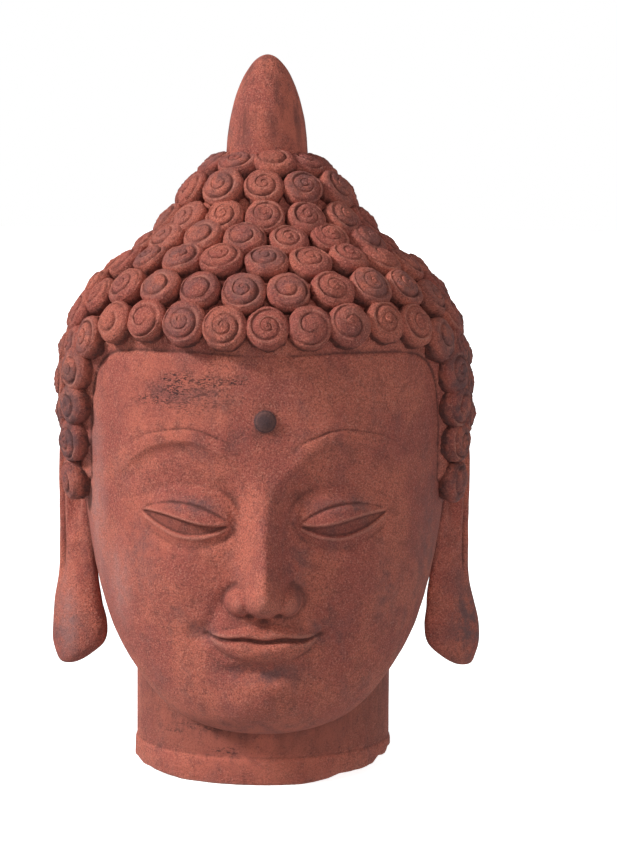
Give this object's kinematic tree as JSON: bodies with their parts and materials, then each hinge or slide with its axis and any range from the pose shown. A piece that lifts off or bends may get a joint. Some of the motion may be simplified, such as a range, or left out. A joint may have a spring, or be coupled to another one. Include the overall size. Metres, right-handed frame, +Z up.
{
  "type": "buddha head",
  "caption": "Cast clay buddha head with snail-shell curls, a pointed finial, long ear lobes and a neck that stands flat.",
  "frame": {"origin": "on the ground, under the middle of the head", "axes": "+Z up, the face looks towards -Y, +X is on the viewer's right"},
  "size_m": [0.3698, 0.3805, 0.5999],
  "materials": {
    "clay": "matt fired clay with a grey bloom"
  },
  "bodies": {
    "root": {"buddha_head": "clay"}
  },
  "joints": []
}
